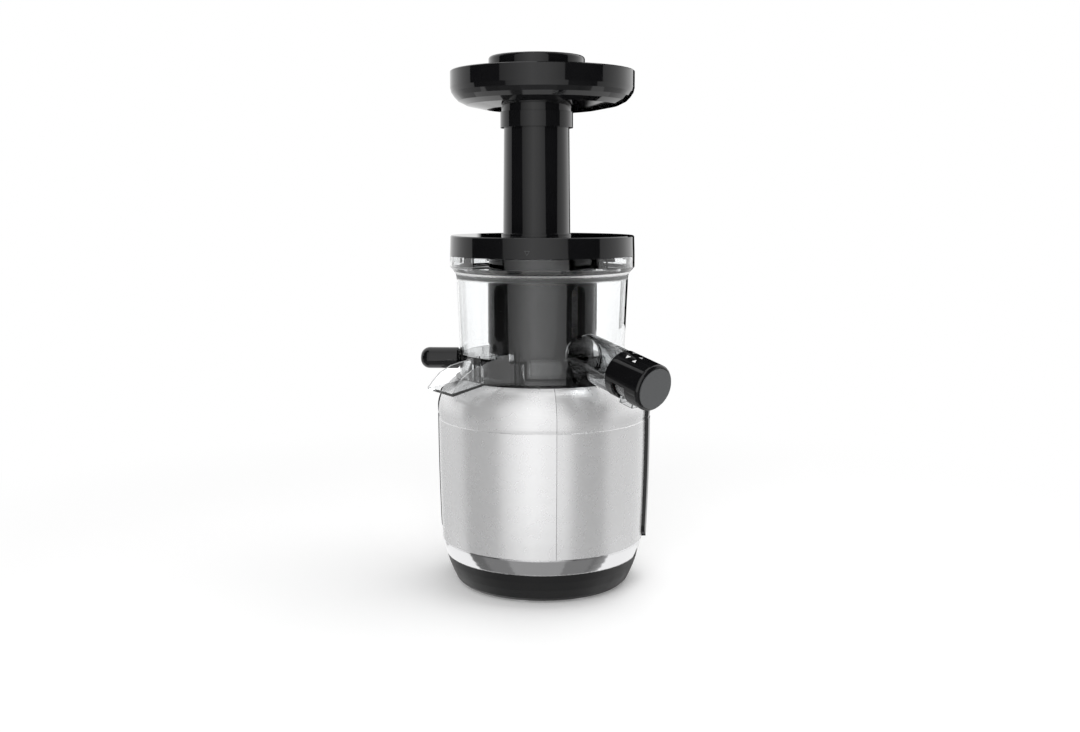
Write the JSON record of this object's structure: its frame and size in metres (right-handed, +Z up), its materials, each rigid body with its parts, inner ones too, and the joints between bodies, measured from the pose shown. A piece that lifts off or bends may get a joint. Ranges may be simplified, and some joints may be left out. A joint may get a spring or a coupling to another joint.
{
  "type": "cold press juicer",
  "caption": "Upright slow juicer: silver motor base, clear juicing bowl with pulp chute, lever and twist tap, black lid with a tall feed tube, feed tray and pusher.",
  "frame": {"origin": "on the drive axis, at the level of the floor that the feet stand on, 2 mm below the flat underside of the base cover", "axes": "+Z up along the drive axis; the front of the product faces -Y, the pulp chute and lever are at -X and the juice tap is at the front right, +X -Y"},
  "size_m": [0.2016, 0.2155, 0.4388],
  "materials": {
    "base_black": "fine matt texture",
    "rubber_black": "matt",
    "bright_ring": "polished",
    "silver": "satin metallic",
    "gloss_black": "high gloss",
    "steel": "ground",
    "laminations": "stacked sheets",
    "copper": "enamelled wire",
    "cast_alloy": "die cast",
    "bronze": "sintered",
    "board_green": "printed board",
    "clear": "clear",
    "silicone": "satin",
    "seal_red": "satin",
    "dark_plastic": "satin",
    "cream_plastic": "satin",
    "disc_grey": "satin",
    "mark_white": "printed ink"
  },
  "bodies": {
    "base": {"bottom_cover": "base_black", "rubber_feet": "rubber_black", "trim_ring": "bright_ring", "left_shell": "silver", "right_shell": "silver", "left_grip": "gloss_black", "right_grip": "gloss_black", "top_deck": "gloss_black", "cover_screws": "steel", "cord_gland": "rubber_black", "switch_housing": "base_black", "control_board": "board_green", "motor_isolators": "rubber_black", "lower_bell": "cast_alloy", "stator_core": "laminations", "stator_windings": "copper", "upper_bell": "cast_alloy", "motor_bearings": "steel", "gearbox_housing": "cast_alloy", "gearbox_cover": "cast_alloy", "gearbox_screws": "steel", "step_gear_pin": "steel", "shaft_bushes": "bronze"},
    "rocker": {"power_rocker": "gloss_black"},
    "rotor": {"motor_shaft": "steel", "rotor_core": "laminations", "cooling_fan": "dark_plastic"},
    "step": {"step_gear": "steel"},
    "drive": {"output_gear": "steel", "drive_shaft": "steel"},
    "bowl": {"juice_bowl": "clear", "bowl_seal": "silicone", "strainer_frame": "dark_plastic", "strainer_mesh": "steel"},
    "small_gear_front": {"brush_gears_front": "cream_plastic"},
    "small_gear_rear": {"brush_gears_rear": "cream_plastic"},
    "brush": {"brush_frame": "dark_plastic", "wiper_blades": "silicone"},
    "auger_set": {"auger": "cream_plastic", "auger_socket": "steel"},
    "gate": {"pulp_gate": "gloss_black", "lever_grip": "gloss_black"},
    "tap": {"tap_cap": "gloss_black", "tap_plug": "dark_plastic", "tap_end_disc": "disc_grey", "tap_seals": "seal_red"},
    "lid_ring": {"lid_seal": "silicone"},
    "lid": {"lid": "gloss_black", "auger_bush": "cream_plastic"},
    "tray": {"feed_tray": "gloss_black"},
    "pusher": {"pusher": "gloss_black"}
  },
  "joints": [
    {"name": "drive_spin", "type": "hinge", "parent": "base", "child": "drive", "pos_m": [0, 0, 0.113], "axis": [0, 0, 1], "continuous": true},
    {"name": "rotor_spin", "type": "hinge", "parent": "base", "child": "rotor", "pos_m": [0, 0, 0.055], "axis": [0, 0, 1], "continuous": true},
    {"name": "step_spin", "type": "hinge", "parent": "base", "child": "step", "pos_m": [0, 0.0375, 0.1], "axis": [0, 0, 1], "continuous": true},
    {"name": "power_switch", "type": "hinge", "parent": "base", "child": "rocker", "pos_m": [0.03862, 0.0669, 0.07552], "axis": [-0.866, 0.5, 0], "range_deg": [-10, 10]},
    {"name": "bowl_lift", "type": "slide", "parent": "base", "child": "bowl", "axis": [0, 0, 1], "range_m": [0, 0.06]},
    {"name": "auger_spin", "type": "hinge", "parent": "bowl", "child": "auger_set", "pos_m": [0, 0, 0.24], "axis": [0, 0, 1], "continuous": true},
    {"name": "small_gear_front_spin", "type": "hinge", "parent": "bowl", "child": "small_gear_front", "pos_m": [0.02063, -0.01499, 0.2034], "axis": [0, 0, 1], "continuous": true},
    {"name": "small_gear_rear_spin", "type": "hinge", "parent": "bowl", "child": "small_gear_rear", "pos_m": [-0.02063, 0.01499, 0.2034], "axis": [0, 0, 1], "continuous": true},
    {"name": "brush_spin", "type": "hinge", "parent": "bowl", "child": "brush", "pos_m": [0, 0, 0.23], "axis": [0, 0, 1], "continuous": true},
    {"name": "pulp_lever_swing", "type": "hinge", "parent": "bowl", "child": "gate", "pos_m": [0, 0, 0.1924], "axis": [0, 0, 1], "range_deg": [-33, 0]},
    {"name": "tap_turn", "type": "hinge", "parent": "bowl", "child": "tap", "pos_m": [0.0385, -0.06084, 0.2009], "axis": [0.6263, -0.7464, -0.225], "range_deg": [0, 60]},
    {"name": "lid_lift", "type": "slide", "parent": "bowl", "child": "lid_ring", "axis": [0, 0, 1], "range_m": [0, 0.08]},
    {"name": "lid_turn", "type": "hinge", "parent": "lid_ring", "child": "lid", "pos_m": [0, 0, 0.288], "axis": [0, 0, 1], "range_deg": [-25, 0]},
    {"name": "tray_lift", "type": "slide", "parent": "lid", "child": "tray", "axis": [0, 0, 1], "range_m": [0, 0.05]},
    {"name": "pusher_lift", "type": "slide", "parent": "tray", "child": "pusher", "axis": [0, 0, 1], "range_m": [0, 0.1]}
  ],
  "couplings": [
    {"joint": "rotor_spin", "follows": "drive_spin", "ratio": 16},
    {"joint": "step_spin", "follows": "drive_spin", "ratio": -4},
    {"joint": "auger_spin", "follows": "drive_spin", "ratio": 1},
    {"joint": "small_gear_front_spin", "follows": "drive_spin", "ratio": -1.4286},
    {"joint": "small_gear_rear_spin", "follows": "drive_spin", "ratio": -1.4286},
    {"joint": "brush_spin", "follows": "drive_spin", "ratio": -0.41667}
  ]
}
